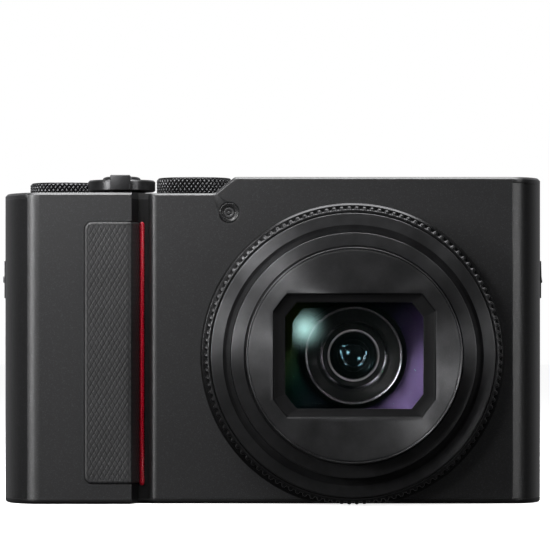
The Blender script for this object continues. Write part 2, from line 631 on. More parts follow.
for n in ("grip_cover", "rear_cover", "flash_head"):
    refined(n, M["paint"], 0.10, 2)
Z_TOP = B("top_cover")[1][2] * MM
refined("top_cover", M["paint"], 0.10, 2, pick=lambda e: not (e.verts[0].co.z > Z_TOP - 0.0002 and e.calc_length() < 0.0008
                                                              and 0.008 < e.verts[0].co.x < 0.027 and -0.011 < e.verts[0].co.y < 0.011))
gc = bpy.data.objects["grip_cover_skin"].data
gc.materials.append(M["groove"])
XV = B("grip_accent")[0][0]
for f_ in gc.polygons:  # the groove beside the grip is left bare and black
    if f_.center.x / MM > XV - 1.9 and f_.center.y / MM > B("grip_cover")[0][1] + 0.35:
        f_.material_index = 1
refined("front_cover", M["paint"], 0.10, 2, cuts=[XL + 0.12 * i for i in range(1, 16)], bend=panel_edge)
fc = bpy.data.objects["front_cover_skin"].data
fc.materials.append(M["groove"])
for f_ in fc.polygons:
    if f_.center.x / MM < XL + 0.13 and f_.center.y / MM < Y_PANEL + 1.4:
        f_.material_index = 1
refined("side_cover_left", M["paint_end"], 0.10, 2, cuts=[XS0 - 0.3 * i for i in range(1, 17)], bend=crease_left)
refined("side_cover_right", M["paint_end"], 0.10, 2, cuts=[XS1 + 0.3 * i for i in range(1, 18)], bend=crease_right)
for n in ("bottom_cover", "battery_door"):
    refined(n, M["black"], 0.10, 2)

# ------------------------------------------------------------------ lens, fixed pieces
put(lathe("base_ring", [
    (R_SLEEVE + 0.06, Y_PANEL + 0.3, 0), (R_BASE - 0.05, Y_PANEL + 0.3, 0), (R_BASE, Y_PANEL - 0.1, 0.05),
    (R_BASE, Y_BASE + 0.55, 0.12), (R_BASE - 0.45, Y_BASE + 0.05, 0.15), (R_RING - 0.3, Y_BASE + 0.02, 0.05), (R_SLEEVE + 0.06, Y_BASE + 0.02, 0)],
    (LX, LZ), "Y", [M["base_ring"]], n=384), "lens_base_ring")
base = bpy.data.objects["base_ring"]
floor_z = B("lens_base_ring")[0][2]
for v in base.data.vertices:  # the ring is cut level with the base
    if v.co.z < floor_z * MM:
        v.co.z = floor_z * MM

put(lathe("sleeve", [
    (R_SLEEVE, Y_PANEL + 2.5, 0, 0), (R_SLEEVE, Y_TRIM + 0.02, 0.16, 0), (R_SLEEVE - 0.28, Y_TRIM, 0.10, 1), (26.45, Y_TRIM, 0.04, 2),
    (26.30, Y_TRIM + 0.22, 0.1, 2), (25.75, Y_TRIM + 0.62, 0.5, 2), (25.10, Y_TRIM + 0.86, 0.3, 2), (24.92, Y_TRIM + 0.92, 0.04, 0), (24.86, Y_TRIM + 1.1, 0.03, 0), (24.86, Y_PANEL + 2.5, 0, 0)],
    (LX, LZ), "Y", [M["ring_y"], M["face_y"], M["cham_y"]], n=384, seg=5, sharp=50), "lens_sleeve")

# ------------------------------------------------------------------ control ring: 122 rounded ribs
TEETH = 122
per = 16
tth = np.linspace(0, 2 * math.pi, TEETH * per, endpoint=False)
ph = (tth * TEETH / (2 * math.pi)) % 1.0
rib = np.clip((np.cos(2 * math.pi * ph) + 0.55) / 1.1, 0, 1)
rib = rib ** 0.7
R0 = R_SLEEVE + 0.10
RL, RP = [], []
path = [(R0, Y_RING1, 0), (R0, Y_RING0 + 0.06, 0), (R0 + 0.06, Y_RING0, 0), (29.50, Y_RING0, 0), (29.56, Y_RING0 + 0.05, 0.05),
        (29.62, Y_RING0 + 0.10, 0.5), (29.95, Y_RING0 + 0.22, 1), (R_RING - 0.14, Y_RING0 + 0.38, 1), (R_RING - 0.02, Y_RING0 + 0.62, 1),
        (R_RING, Y_RING0 + 0.9, 1), (R_RING, Y_RING0 + 2.2, 1), (R_RING, Y_RING0 + 3.6, 1), (R_RING, Y_RING1 - 2.2, 1), (R_RING, Y_RING1 - 0.9, 1),
        (R_RING - 0.05, Y_RING1 - 0.55, 1), (R_RING - 0.35, Y_RING1 - 0.3, 0.6), (R_RING - 0.62, Y_RING1 - 0.2, 0.0), (R_RING - 0.65, Y_RING1 - 0.05, 0), (R_RING - 0.7, Y_RING1, 0)]
for r, y, a in path:
    RP.append(((r - 0.52 * a * (1 - rib)), y))
put(rings("control_ring_ribbed", RP, tth, (LX, LZ), "Y", [M["knurl"]], closed=True, sharp=60), "control_ring")

# ------------------------------------------------------------------ moving barrels
put(lathe("outer_barrel", [
    (R_B, Y_B1, 0, 0), (R_B, Y_B + 0.02, 0.22, 0), (R_B - 0.24, Y_B, 0.12, 1), (22.12, Y_B, 0.08, 0), (22.02, Y_B + 0.32, 0.05, 0), (21.80, Y_B + 0.36, 0, 0),
    (21.78, Y_B + 2.2, 0, 0), (23.3, Y_B + 2.2, 0, 0), (23.3, Y_B1, 0, 0)],
    (LX, LZ), "Y", [M["ring_y"], M["face_y"]], n=384, sharp=45), "barrel_outer")

Y_SEAT = Y_G + 9.7
put(lathe("inner_barrel", [
    (R_C, Y_C1, 0), (R_C, Y_C + 0.02, 0.14), (R_C - 0.2, Y_C, 0.08), (R_C - 0.36, Y_C + 0.06, 0.03), (R_C - 0.36, Y_C + 1.65, 0), (R_C - 0.9, Y_C + 1.65, 0),
    (R_C - 0.9, Y_G + 1.2, 0), (19.35, Y_G + 1.2, 0), (19.35, Y_SEAT, 0), (14.4, Y_SEAT, 0), (12.9, Y_SEAT + 0.3, 0), (10.4, Y_SEAT + 0.6, 0),
    (10.3, Y_SEAT + 1.2, 0), (R_C - 0.9, Y_SEAT + 1.2, 0), (R_C - 0.9, Y_C1, 0)],
    (LX, LZ), "Y", [M["baffle"]], n=256, sharp=30), "barrel_inner")
# the outside of the inner barrel is a turned metal tube
me = bpy.data.objects["inner_barrel"].data
me.materials.append(M["ring_y"])
for p in me.polygons:
    c = p.center
    if math.hypot(c.x / MM - LX, c.z / MM - LZ) > R_C - 0.42 and c.y / MM > Y_C - 0.1:
        p.material_index = 1


def oct_r(th, w, h, cx, cz):
    """Distance from the centre to the eight-cornered outline at each angle."""
    c, s = np.abs(np.cos(th)), np.abs(np.sin(th))
    with np.errstate(divide="ignore"):
        r = np.minimum(np.where(c > 1e-9, (w / 2) / c, 1e9), np.where(s > 1e-9, (h / 2) / s, 1e9))
    # the cut corner: a line from (w/2, h/2 - cz) to (w/2 - cx, h/2)
    a, b_ = cz, cx
    k = a * (w / 2) + b_ * (h / 2 - cz)
    return np.minimum(r, k / (a * c + b_ * s))


def corner_angles(w, h, cx, cz):
    out = []
    for x, z in ((w / 2, h / 2 - cz), (w / 2 - cx, h / 2)):
        for sx in (1, -1):
            for sz in (1, -1):
                out.append(math.atan2(sz * z, sx * x) % (2 * math.pi))
    return out


O1 = (32.55, 24.8, 2.75, 3.55)
O2 = (27.6, 21.2, 2.35, 2.9)
oth = np.array(sorted(set([round(float(t), 7) for t in TH] + [round(t, 7) for t in corner_angles(*O1) + corner_angles(*O2)]
                          + [round(t + e, 7) for t in corner_angles(*O1) + corner_angles(*O2) for e in (-0.006, 0.006)])))


def inset(o, d):
    return (o[0] - 2 * d, o[1] - 2 * d, max(0.1, o[2] - 0.45 * d), max(0.1, o[3] - 0.45 * d))


RBZ = R_C - 0.42
bez = [(RBZ, Y_C + 1.55), (RBZ, Y_C + 0.10), (RBZ - 0.05, Y_C + 0.03), (RBZ - 0.12, Y_C), (RBZ - 0.5, Y_C), (oct_r(oth, *inset(O1, -0.9)), Y_C),
       (oct_r(oth, *inset(O1, -0.10)), Y_C), (oct_r(oth, *inset(O1, -0.03)), Y_C + 0.03), (oct_r(oth, *O1), Y_C + 0.10),
       (oct_r(oth, *inset(O1, 0.14)), Y_C + 0.62), (oct_r(oth, *inset(O1, 0.22)), Y_C + 0.74), (oct_r(oth, *inset(O1, 0.34)), Y_C + 0.80),
       (oct_r(oth, *inset(O2, -0.42)), Y_C + 0.98), (oct_r(oth, *inset(O2, -0.14)), Y_C + 1.00), (oct_r(oth, *inset(O2, -0.04)), Y_C + 1.04), (oct_r(oth, *O2), Y_C + 1.14),
       (oct_r(oth, *O2), Y_C + 1.58), (RBZ - 1.0, Y_C + 1.58)]
bm_idx = [0, 0, 0, 0, 0, 0, 0, 0] + [1] * 8 + [2, 2]
put(rings("bezel", bez, oth, (LX, LZ), "Y", [M["bezel_y"], M["frame"], M["baffle"]], bm_idx, closed=True, sharp=28), "front_bezel")

# ------------------------------------------------------------------ optics seen through the window


def sag(r, R):
    return R - math.sqrt(max(R * R - r * r, 0))


def sag_(r, R):
    return R - math.sqrt(R * R - r * r)


def lens_solid(name, y0, R1, r1, edge_y0, edge_y1, r_edge, y_back, R2, r2, mats, body, node=None, n=192):
    """A glass element. Front: vertex y0, radius R1 to r1. Back: vertex y_back, radius R2 (positive bends like the front) to r2."""
    prof = []
    for k in range(25):
        r = r1 * k / 24
        prof.append((r, y0 + (sag(r, R1) if R1 > 0 else -sag(r, -R1)), 0))
    prof.append((r_edge, edge_y0, 1))
    prof.append((r_edge, edge_y1, 1))
    for k in range(24, -1, -1):
        r = r2 * k / 24
        prof.append((r, y_back + (sag(r, R2) if R2 > 0 else -sag(r, -R2)), 2))
    ring_list = [(max(r, 1e-5), y) for r, y, _ in prof]
    band = [p[2] if i < len(prof) - 1 else 2 for i, p in enumerate(prof)][:-1]
    for i in range(len(band)):
        band[i] = 0 if i < 24 else (1 if i < 27 else 2)
    th = np.linspace(0, 2 * math.pi, n, endpoint=False)
    o = rings(name, ring_list, th, (LX, LZ), "Y", mats, band, closed=False, caps=(True, True), sharp=25)
    for p in o.data.polygons:
        if len(p.vertices) > 8:
            p.material_index = 0 if p.center.y / MM < (y0 + y_back) / 2 else 2
    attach(o, body)
    if node:
        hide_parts(node)
    return o


lens_solid("front_glass", Y_G, 58.0, 18.9, Y_G + 3.4, Y_G + 5.2, 19.1, Y_G + 4.6, 400.0, 18.9,
           [M["coat_front"], M["baffle"], M["coat_back"]], "lens_inner", "front_element")
annulus = [(9.95, Y_G + 8.30, 0.05)]
for k in range(9):
    r_ = 10.2 + (18.7 - 10.2) * k / 8
    annulus.append((r_, Y_G + 9.4 - sag_(r_, 46.0), 0))
annulus += [(19.2, Y_G + 5.7, 0), (19.2, Y_G + 9.0, 0), (9.95, Y_G + 9.6, 0)]
an = lathe("coated_annulus", annulus, (LX, LZ), "Y", [M["violet"]], n=192, sharp=40)
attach(an, "lens_inner")
# second group's black mount, its polished edges and the glass in it
zc = (LX, LZ)
Y_2 = Y_G + 7.3
ring2 = lathe("second_mount", [(9.75, Y_2 - 0.2, 0.0, 0), (9.40, Y_2 - 0.75, 0.12, 1), (9.05, Y_2 - 0.70, 0.1, 1), (8.85, Y_2 - 0.2, 0.05, 0), (7.0, Y_2 + 0.6, 0.05, 0),
                               (6.45, Y_2 + 0.62, 0.08, 3), (6.25, Y_2 + 0.8, 0.06, 3), (5.9, Y_2 + 1.0, 0.0, 0), (4.92, Y_2 + 1.1, 0, 2), (4.92, Y_2 + 0.98, 0.03, 2), (4.64, Y_2 + 0.98, 0.03, 2),
                               (4.58, Y_2 + 1.3, 0, 0), (4.3, Y_2 + 3.65, 0, 0), (10.30, Y_2 + 3.65, 0, 0), (10.30, Y_2 + 1.3, 0, 0)],
              zc, "Y", [M["baffle"], M["bright_edge"], M["grey_ring"], M["baffle_gloss"]], n=256, sharp=40)
iris = lathe("iris", [(4.35, Y_2 + 2.9, 0, 0), (1.75, Y_2 + 3.05, 0, 1), (1.60, Y_2 + 3.1, 0, 0), (1.60, Y_2 + 3.25, 0, 0), (4.35, Y_2 + 3.25, 0, 0)], zc, "Y", [M["baffle"], M["baffle_gloss"]], n=128)
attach(ring2, "lens_inner")
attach(iris, "lens_inner")
lens_solid("third_glass", Y_2 + 0.95, 5.4, 3.9, Y_2 + 2.72, Y_2 + 2.78, 4.1, Y_2 + 2.82, -30.0, 3.9,
           [M["coat_in"], M["baffle"], M["coat_in"]], "lens_inner")
pupil = lathe("pupil", [(0.0, Y_2 + 3.40, 0), (1.4, Y_2 + 3.42, 0), (4.25, Y_2 + 3.45, 0), (4.25, Y_2 + 3.6, 0), (0.0, Y_2 + 3.6, 0)], zc, "Y", [M["baffle"]], n=96, closed=False)
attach(pupil, "lens_inner")

# ------------------------------------------------------------------ barrier blades
for n in ("barrier_upper_inner", "barrier_upper_outer", "barrier_lower_inner", "barrier_lower_outer"):
    refined(n, M["foil"], 0.05, 1)

# ------------------------------------------------------------------ knurled dials


def knurl_metal(name, cx, cy, R, depth):
    """Black anodised knurling: dull in the grooves, rubbed bright on the tips."""
    m, nt, b = tree(name)
    co = coord(nt)
    p_ = N(nt, "ShaderNodeVectorMath", {"operation": "SUBTRACT"}, i0=co, i1=(cx * MM, cy * MM, 0)).outputs[0]
    p_ = N(nt, "ShaderNodeVectorMath", {"operation": "MULTIPLY"}, i0=p_, i1=(1, 1, 0)).outputs[0]
    rad = N(nt, "ShaderNodeVectorMath", {"operation": "LENGTH"}, i0=p_).outputs["Value"]
    tip = rng(nt, rad, (R - depth * 0.75) * MM, (R - depth * 0.10) * MM, 0.0, 1.0)
    g = noise(nt, co, 2600, 2.0)
    col = mixc(nt, tip, (0.0030, 0.0030, 0.0032), (0.125, 0.125, 0.130))
    S(nt, b, Base_Color=col, Roughness=math_(nt, "ADD", rng(nt, tip, 0.0, 1.0, 0.55, 0.34), rng(nt, g, 0.3, 0.7, -0.03, 0.03)))
    b.inputs["Metallic"].default_value = 0.8
    b.inputs["Specular IOR Level"].default_value = 0.3
    return m


def knurled(name, node, count, marks):
    lo, hi = B(node)
    cx, cy = (lo[0] + hi[0]) / 2, (lo[1] + hi[1]) / 2
    R, z1 = (hi[0] - lo[0]) / 2, hi[2]
    z0 = lo[2] + 2.5
    n = count * 14
    th = np.linspace(0, 2 * math.pi, n, endpoint=False)
    a = th * count / (2 * math.pi)
    pv, depth = 1.19, 0.34
    metal = knurl_metal(node + "_knurl_metal", cx, cy, R, depth)
    rl, band = [], []
    for r, z in ((1.9, lo[2]), (1.9, z0), (R - 0.75, z0), (R - 0.45, z0 + 0.02), (R - 0.36, z0 + 0.12)):
        rl.append((r, z)); band.append(0)
    top = z1 - 0.34
    rows = int(round((top - (z0 + 0.2)) / 0.085))
    for k in range(rows + 1):
        z = z0 + 0.2 + (top - z0 - 0.2) * k / rows
        b_ = z / pv
        u, v = (a + b_) % 1.0, (a - b_) % 1.0
        h = np.minimum(1 - np.abs(2 * u - 1), 1 - np.abs(2 * v - 1))
        h = np.clip(h, 0, 0.66) / 0.66
        edge = min(1.0, k / 2.0, (rows - k) / 2.0)
        rl.append((R - depth * (1 - h) * (0.35 + 0.65 * edge) - 0.10 * (1 - edge), z)); band.append(0)
    for r, z, m_ in ((R - 0.30, z1 - 0.22, 0), (R - 0.34, z1 - 0.12, 1), (R - 0.45, z1 - 0.03, 1), (R - 0.62, z1, 1), (R - 1.05, z1, 1), (R - 1.15, z1 - 0.08, 1), (R - 1.3, z1 - 0.10, 1), (R * 0.5, z1 - 0.07, 1), (0.01, z1 - 0.05, 1)):
        rl.append((r, z)); band.append(m_)
    o = rings(name, rl, th, (cx, cy), "Z", [metal, M["top_z"]], band[:-1] if len(band) >= len(rl) else band, closed=False, caps=(True, True), sharp=50)
    bits = [o]
    for i in range(marks):
        t = 2 * math.pi * i / marks
        r = R - 2.1
        if i % 3 == 0:
            lo_, hi_ = (cx - 0.14, cy + r - 0.55, z1 - 0.10), (cx + 0.14, cy + r + 0.55, z1 - 0.055)
        else:
            lo_, hi_ = (cx - 0.18, cy + r - 0.18, z1 - 0.10), (cx + 0.18, cy + r + 0.18, z1 - 0.055)
        k = block("mark", lo_, hi_, 0.02, [M["white_mark"]], 1)
        for v in k.data.vertices:
            x, y = v.co.x - cx * MM, v.co.y - cy * MM
            v.co.x = cx * MM + x * math.cos(t) - y * math.sin(t)
            v.co.y = cy * MM + x * math.sin(t) + y * math.cos(t)
        bits.append(k)
    o = join(bits, name)
    return put(o, node)


knurled("mode_dial_knurled", "mode_dial", 52, 12)
knurled("control_dial_knurled", "control_dial", 47, 0)

# ------------------------------------------------------------------ zoom lever and shutter button
lo, hi = B("shutter_button")
SX, SY = (lo[0] + hi[0]) / 2, (lo[1] + hi[1]) / 2
llo, lhi = B("zoom_lever")
RLV = (lhi[0] - llo[0]) / 2
ring = lathe("lever_ring", [(4.06, 64.17, 0.05), (6.55, 64.17, 0.08), (RLV, 64.45, 0.12), (RLV, 66.22, 0.15), (6.62, 66.56, 0.15), (4.5, 66.60, 0.1), (4.07, 66.45, 0.08)],
             (SX, SY), "Z", [M["lever_z"]], n=192, seg=5, sharp=50)
tab = block("lever_tab", (SX - 2.05, llo[1], 64.27), (SX + 2.05, SY - 4.6, lhi[2]), 0.22, [M["lever_z"]], 4)
ridges = [block("tab_rib", (SX - 1.4 + 0.7 * i - 0.13, llo[1] + 1.0, lhi[2] - 0.12), (SX - 1.4 + 0.7 * i + 0.13, llo[1] + 2.9, lhi[2]), 0.06, [M["lever_z"]], 2) for i in range(5)]
for r_ in ridges:
    bpy.data.objects.remove(r_)
put(join([ring, tab], "zoom_lever_turned"), "zoom_lever")
put(lathe("shutter_button_turned", [(0.0, lo[2], 0), (1.9, lo[2], 0), (1.9, 65.77, 0), (3.9, 65.79, 0.05), (3.95, 66.78, 0.2), (3.72, 67.12, 0.15), (3.2, 67.30, 0.4), (2.2, 67.38, 0.5), (0.0, 67.28, 0)],
          (SX, SY), "Z", [M["top_z"]], n=160, seg=4, sharp=50, closed=False), "shutter_button")

lo, hi = B("movie_button")
mx, my = (lo[0] + hi[0]) / 2, (lo[1] + hi[1]) / 2
mv = lathe("movie_button_turned", [(0.0, lo[2], 0), (3.0, lo[2], 0), (3.0, 62.45, 0), (2.3, 62.45, 0), (2.3, hi[2] - 0.3, 0.1), (2.05, hi[2] - 0.02, 0.15), (1.4, hi[2] - 0.04, 0.3), (0.0, hi[2] - 0.22, 0)],
           (mx, my), "Z", [M["top_z"]], n=128, sharp=50, closed=False)
dot = lathe("movie_dot", [(0.0, hi[2] - 0.24, 0), (0.55, hi[2] - 0.22, 0), (0.55, hi[2] - 0.13, 0.04), (0.0, hi[2] - 0.11, 0)], (mx, my), "Z", [M["red"]], n=48, closed=False)
put(join([mv, dot], "movie_button_top"), "movie_button")

# ------------------------------------------------------------------ grip pad: moulded lozenges


def grip_pad():
    lo, hi = B("grip_pad")
    x0, y0, z0, z1 = lo[0], lo[1], lo[2], hi[2]
    xb, xe, ye = hi[0] - 1.45 + 0.0, hi[0], hi[1] - 0.0
    xb = -15.95
    xe, ye = hi[0] + 0.0, -14.3
    flat = xb - x0
    rb = 0.55
    slope = math.hypot(xe - xb, ye - y0)
    total = flat + slope
    ns, nz = int(total / 0.088), int((z1 - z0) / 0.098)
    s = np.linspace(0, total, ns + 1)
    z = np.linspace(z0, z1, nz + 1)
    SS, ZZ = np.meshgrid(s, z, indexing="ij")
    # rounded corners on the free side
    rc = 1.6
    cs, cz0, cz1 = rc, z0 + rc, z1 - rc
    for cz, sel in ((cz0, ZZ < cz0), (cz1, ZZ > cz1)):
        q = sel & (SS < cs)
        dx, dz = SS[q] - cs, ZZ[q] - cz
        d = np.hypot(dx, dz)
        f = np.where(d > rc, rc / np.maximum(d, 1e-9), 1.0)
        SS[q] = cs + dx * f
        ZZ[q] = cz + dz * f
    # distance to the outline
    d1 = np.minimum(np.minimum(SS, ZZ - z0), z1 - ZZ)
    for cz, sel in ((cz0, ZZ < cz0), (cz1, ZZ > cz1)):
        q = sel & (SS < cs)
        d1[q] = rc - np.hypot(SS[q] - cs, ZZ[q] - cz)
    er = 0.62
    t = np.clip(d1 / er, 0, 1)
    drop = 0.50 * (1 - np.sqrt(np.clip(1 - (1 - t) ** 2, 0, 1)))
    # lozenges 1.06 wide and 1.83 high, with a V groove round each
    a, b_ = SS / 1.06, ZZ / 1.83
    u, v = (a + b_) % 1.0, (a - b_) % 1.0
    h = np.minimum(1 - np.abs(2 * u - 1), 1 - np.abs(2 * v - 1))
    crown = np.clip(h / 0.26, 0, 1)
    crown = crown * crown * (3 - 2 * crown) * 0.92 + np.clip(h, 0, 1) * 0.08
    inside = np.clip((d1 - 0.55) / 0.25, 0, 1)
    relief = (1 - np.clip(crown, 0, 1.0)) * 0.075 * inside
    depth = drop + relief
    # the path: flat front, soft bend, slope
    X, Y = np.empty_like(SS), np.empty_like(SS)
    on = SS <= flat
    X[on], Y[on] = x0 + SS[on], y0
    k = (SS[~on] - flat) / slope
    X[~on], Y[~on] = xb + (xe - xb) * k, y0 + (ye - y0) * k
    nx0, ny0 = 0.0, -1.0
    sd = np.array([xe - xb, ye - y0]) / slope
    nx1, ny1 = sd[1], -sd[0]
    w = np.clip((SS - flat + rb) / (2 * rb), 0, 1)
    w = w * w * (3 - 2 * w)
    nx, ny = nx0 * (1 - w) + nx1 * w, ny0 * (1 - w) + ny1 * w
    ln = np.hypot(nx, ny)
    nx, ny = nx / ln, ny / ln
    round_in = 0.16 * np.exp(-((SS - flat) / 0.5) ** 2)
    X = X - nx * (depth + round_in)
    Y = Y - ny * (depth + round_in)
    V = np.stack([X, Y, ZZ], -1).reshape(-1, 3)
    W = nz + 1
    F = [(i * W + j, i * W + j + 1, (i + 1) * W + j + 1, (i + 1) * W + j) for i in range(ns) for j in range(nz)]
    # skirt to the back of the pad
    rim = [i * W for i in range(ns + 1)] + [ns * W + j for j in range(1, nz + 1)] + [i * W + nz for i in range(ns - 1, -1, -1)] + [j for j in range(nz - 1, 0, -1)]
    base_i = len(V)
    back = []
    for q in rim:
        sx = SS.reshape(-1)[q]
        p = V[q]
        if sx <= flat - 0.8:
            back.append((p[0], max(p[1], y0 + 0.80), p[2]))
        else:
            kk = min(1.0, max(0.0, (sx - flat) / slope))
            back.append((xb + (xe - xb) * kk - 0.62, (y0 + 0.82) + (ye - y0 - 0.7) * kk, p[2]))
    V = np.concatenate([V, np.array(back)])
    nrim = len(rim)
    for i in range(nrim):
        j = (i + 1) % nrim
        F.append((rim[i], rim[j], base_i + j, base_i + i))
    F.append(tuple(base_i + i for i in range(nrim)))
    # light is lost in the grooves between the lozenges
    m = M["pad"]
    nt = m.node_tree
    b_ = next(n for n in nt.nodes if n.type == "BSDF_PRINCIPLED")
    sep = N(nt, "ShaderNodeSeparateXYZ", Vector=coord(nt))
    xm = math_(nt, "MULTIPLY", sep.outputs[0], 1000.0)
    sx = math_(nt, "ADD", math_(nt, "SUBTRACT", math_(nt, "MINIMUM", xm, xb), x0), math_(nt, "MULTIPLY", math_(nt, "MAXIMUM", math_(nt, "SUBTRACT", xm, xb), 0.0), slope / (xe - xb)))
    a_ = math_(nt, "DIVIDE", sx, 1.06)
    c_ = math_(nt, "DIVIDE", math_(nt, "MULTIPLY", sep.outputs[2], 1000.0), 1.83)
    tri = []
    for q in (math_(nt, "ADD", a_, c_), math_(nt, "SUBTRACT", a_, c_)):
        tri.append(math_(nt, "PINGPONG", q, 0.5))
    g_ = rng(nt, math_(nt, "MINIMUM", tri[0], tri[1]), 0.02, 0.13, 0.18, 1.0)
    link = b_.inputs["Base Color"].links[0].from_socket
    mul = N(nt, "ShaderNodeMix", {"data_type": "RGBA", "blend_type": "MULTIPLY"}, Factor=1.0)
    nt.links.new(link, mul.inputs[6])
    nt.links.new(g_, mul.inputs[7])
    nt.links.new(mul.outputs[2], b_.inputs["Base Color"])
    o = make("grip_pad_moulded", V, F, [M["pad"]], None, 48)
    return put(o, "grip_pad")


grip_pad()

# ------------------------------------------------------------------ red strip, half-round in section
lo, hi = B("grip_accent")
cx, w, y1 = (lo[0] + hi[0]) / 2, (hi[0] - lo[0]) / 2, hi[1] + 0.1
secs = 20
V, F = [], []
zs = [lo[2] + 0.02, lo[2] + 0.06, lo[2] + 0.16, lo[2] + 0.32] + list(np.linspace(lo[2] + 0.7, hi[2] - 0.7, 24)) + [hi[2] - 0.32, hi[2] - 0.16, hi[2] - 0.06, hi[2] - 0.02]
for z in zs:
    e = min(z - lo[2], hi[2] - z)
    g = 1.0 if e >= 0.4 else math.sqrt(max(0.02, 1 - (1 - e / 0.4) ** 2))
    for k in range(secs + 1):
        t = math.pi * k / secs
        V.append((cx - w * g * math.cos(t), y1 - (y1 - lo[1]) * (0.25 + 0.75 * math.sin(t) ** 0.7) * (0.55 + 0.45 * g), z))
    V.append((cx + w * g, y1, z)); V.append((cx - w * g, y1, z))
W = secs + 3
for i in range(len(zs) - 1):
    for k in range(W):
        F.append((i * W + k, i * W + (k + 1) % W, (i + 1) * W + (k + 1) % W, (i + 1) * W + k))
F.append(tuple(range(W))); F.append(tuple((len(zs) - 1) * W + k for k in range(W)))
put(make("red_strip", V, F, [M["red"]], None, 55), "grip_accent")

# ------------------------------------------------------------------ autofocus lamp
lo, hi = B("af_lamp_lens")
ax, az, ar = (lo[0] + hi[0]) / 2, (lo[2] + hi[2]) / 2, (hi[0] - lo[0]) / 2
yl = lo[1]
put(lathe("af_lamp_moulded", [(0.0, yl + 0.30, 0, 1), (0.28, yl + 0.30, 0.05, 0), (0.36, yl + 0.42, 0.05, 0), (0.55, yl + 0.42, 0.05, 1), (0.66, yl + 0.30, 0.08, 1), (0.98, yl + 0.28, 0.05, 0),
                              (1.06, yl + 0.40, 0.05, 0), (1.22, yl + 0.40, 0.05, 0), (1.36, yl + 0.20, 0.15, 0), (ar - 0.30, yl + 0.10, 0.15, 0), (ar - 0.12, yl + 0.06, 0.08, 0), (ar - 0.03, yl + 0.16, 0.04, 0),
                              (ar - 0.02, yl + 1.9, 0, 0), (0.0, yl + 1.9, 0, 0)], (ax, az), "Y", [M["lamp"], M["lamp_cup"]], n=96, closed=False, sharp=40), "af_lamp_lens")

# ------------------------------------------------------------------ rear, base and small pieces from the frame, edges rounded
for n, mt, bv in (("strap_lug_left", "steel_dark", 0.12), ("strap_lug_right", "steel_dark", 0.12), ("port_door", "plastic", 0.12),
                  ("power_switch", "plastic", 0.08), ("flash_release", "plastic", 0.08), ("screen_unit", "screen", 0.06),
                  ("flash_window", "diffuser", 0.1), ("flash_arm", "foil", 0.1), ("battery_latch", "plastic", 0.05)):
    refined(n, M[mt], bv, 2)

# eyepiece: soft rubber frame
lo, hi = B("eyepiece_frame")
elo, ehi = B("eyepiece_lens")
ex, ez = (lo[0] + hi[0]) / 2, (lo[2] + hi[2]) / 2
W2, H2 = (hi[0] - lo[0]) / 2, (hi[2] - lo[2]) / 2


def rrect(w, h, r, k=8):
    out = []
    for sx, sz, a0 in ((1, 1, 0), (-1, 1, 90), (-1, -1, 180), (1, -1, 270)):
        for i in range(k + 1):
            t = math.radians(a0 + 90 * i / k)
            out.append((sx * (w - r) + r * math.cos(t), sz * (h - r) + r * math.sin(t)))
    return out


def loops(name, layers, centre, mats, band=None, cap=(True, True), closed=False, sharp=40):
    """Rounded rectangles at given depths along Y, bridged in order."""
    V, F, FM = [], [], []
    n = None
    for w, h, r, y in layers:
        pts = rrect(w, h, r)
        n = len(pts)
        V += [(centre[0] + x, y, centre[1] + z) for x, z in pts]
    L = len(layers)
    for k in range(L if closed else L - 1):
        k2 = (k + 1) % L
        for i in range(n):
            j = (i + 1) % n
            F.append((k * n + i, k * n + j, k2 * n + j, k2 * n + i))
            FM.append(0 if band is None else band[k])
    if not closed and cap[0]:
        F.append(tuple(range(n))); FM.append(0)
    if not closed and cap[1]:
        F.append(tuple((L - 1) * n + i for i in range(n))); FM.append(0 if band is None else band[-1])
    return make(name, V, F, mats, FM, sharp)


yr = B("rear_cover")[1][1]
lay = [(8.4, 5.2, 0.6, lo[1]), (8.4, 5.2, 0.6, yr), (W2 - 0.1, H2 - 0.1, 2.1, yr), (W2, H2, 2.2, yr + 0.2), (W2, H2, 2.2, hi[1] - 1.1), (W2 - 0.12, H2 - 0.12, 2.1, hi[1] - 0.5),
       (W2 - 0.45, H2 - 0.45, 1.9, hi[1] - 0.12), (W2 - 0.9, H2 - 0.8, 1.7, hi[1]), (8.3, 5.0, 1.3, hi[1] - 0.02), (7.75, 4.6, 1.1, hi[1] - 0.25), (7.3, 4.4, 0.9, hi[1] - 0.9),
       (7.2, 4.3, 0.6, hi[1] - 1.6), (7.2, 4.3, 0.3, lo[1])]
put(loops("eyepiece_cup", lay, (ex, ez), [M["eye_rubber"]], closed=True, sharp=50), "eyepiece_frame")
ey = (elo[1], ehi[1])
put(loops("eyepiece_glass", [(7.1, 4.2, 0.5, ey[1] - 0.15), (6.6, 3.8, 0.5, ey[1] - 0.02), (4.5, 2.6, 0.5, ey[1] + 0.0), (2.0, 1.2, 0.4, ey[1])][::-1] + [(7.1, 4.2, 0.5, ey[0] + 0.1), (7.0, 4.1, 0.5, ey[0])],
          (ex, ez), [M["eye_glass"]], sharp=30), "eyepiece_lens")
eb = loops("eyepiece_display", [(6.9, 4.1, 0.4, ey[0] - 0.5), (3.4, 2.4, 0.2, ey[0] - 5.2), (3.3, 2.3, 0.2, ey[0] - 5.2)][::-1], (ex, ez), [M["baffle"]], cap=(True, False))
put(eb, "eyepiece_frame", replace=False)

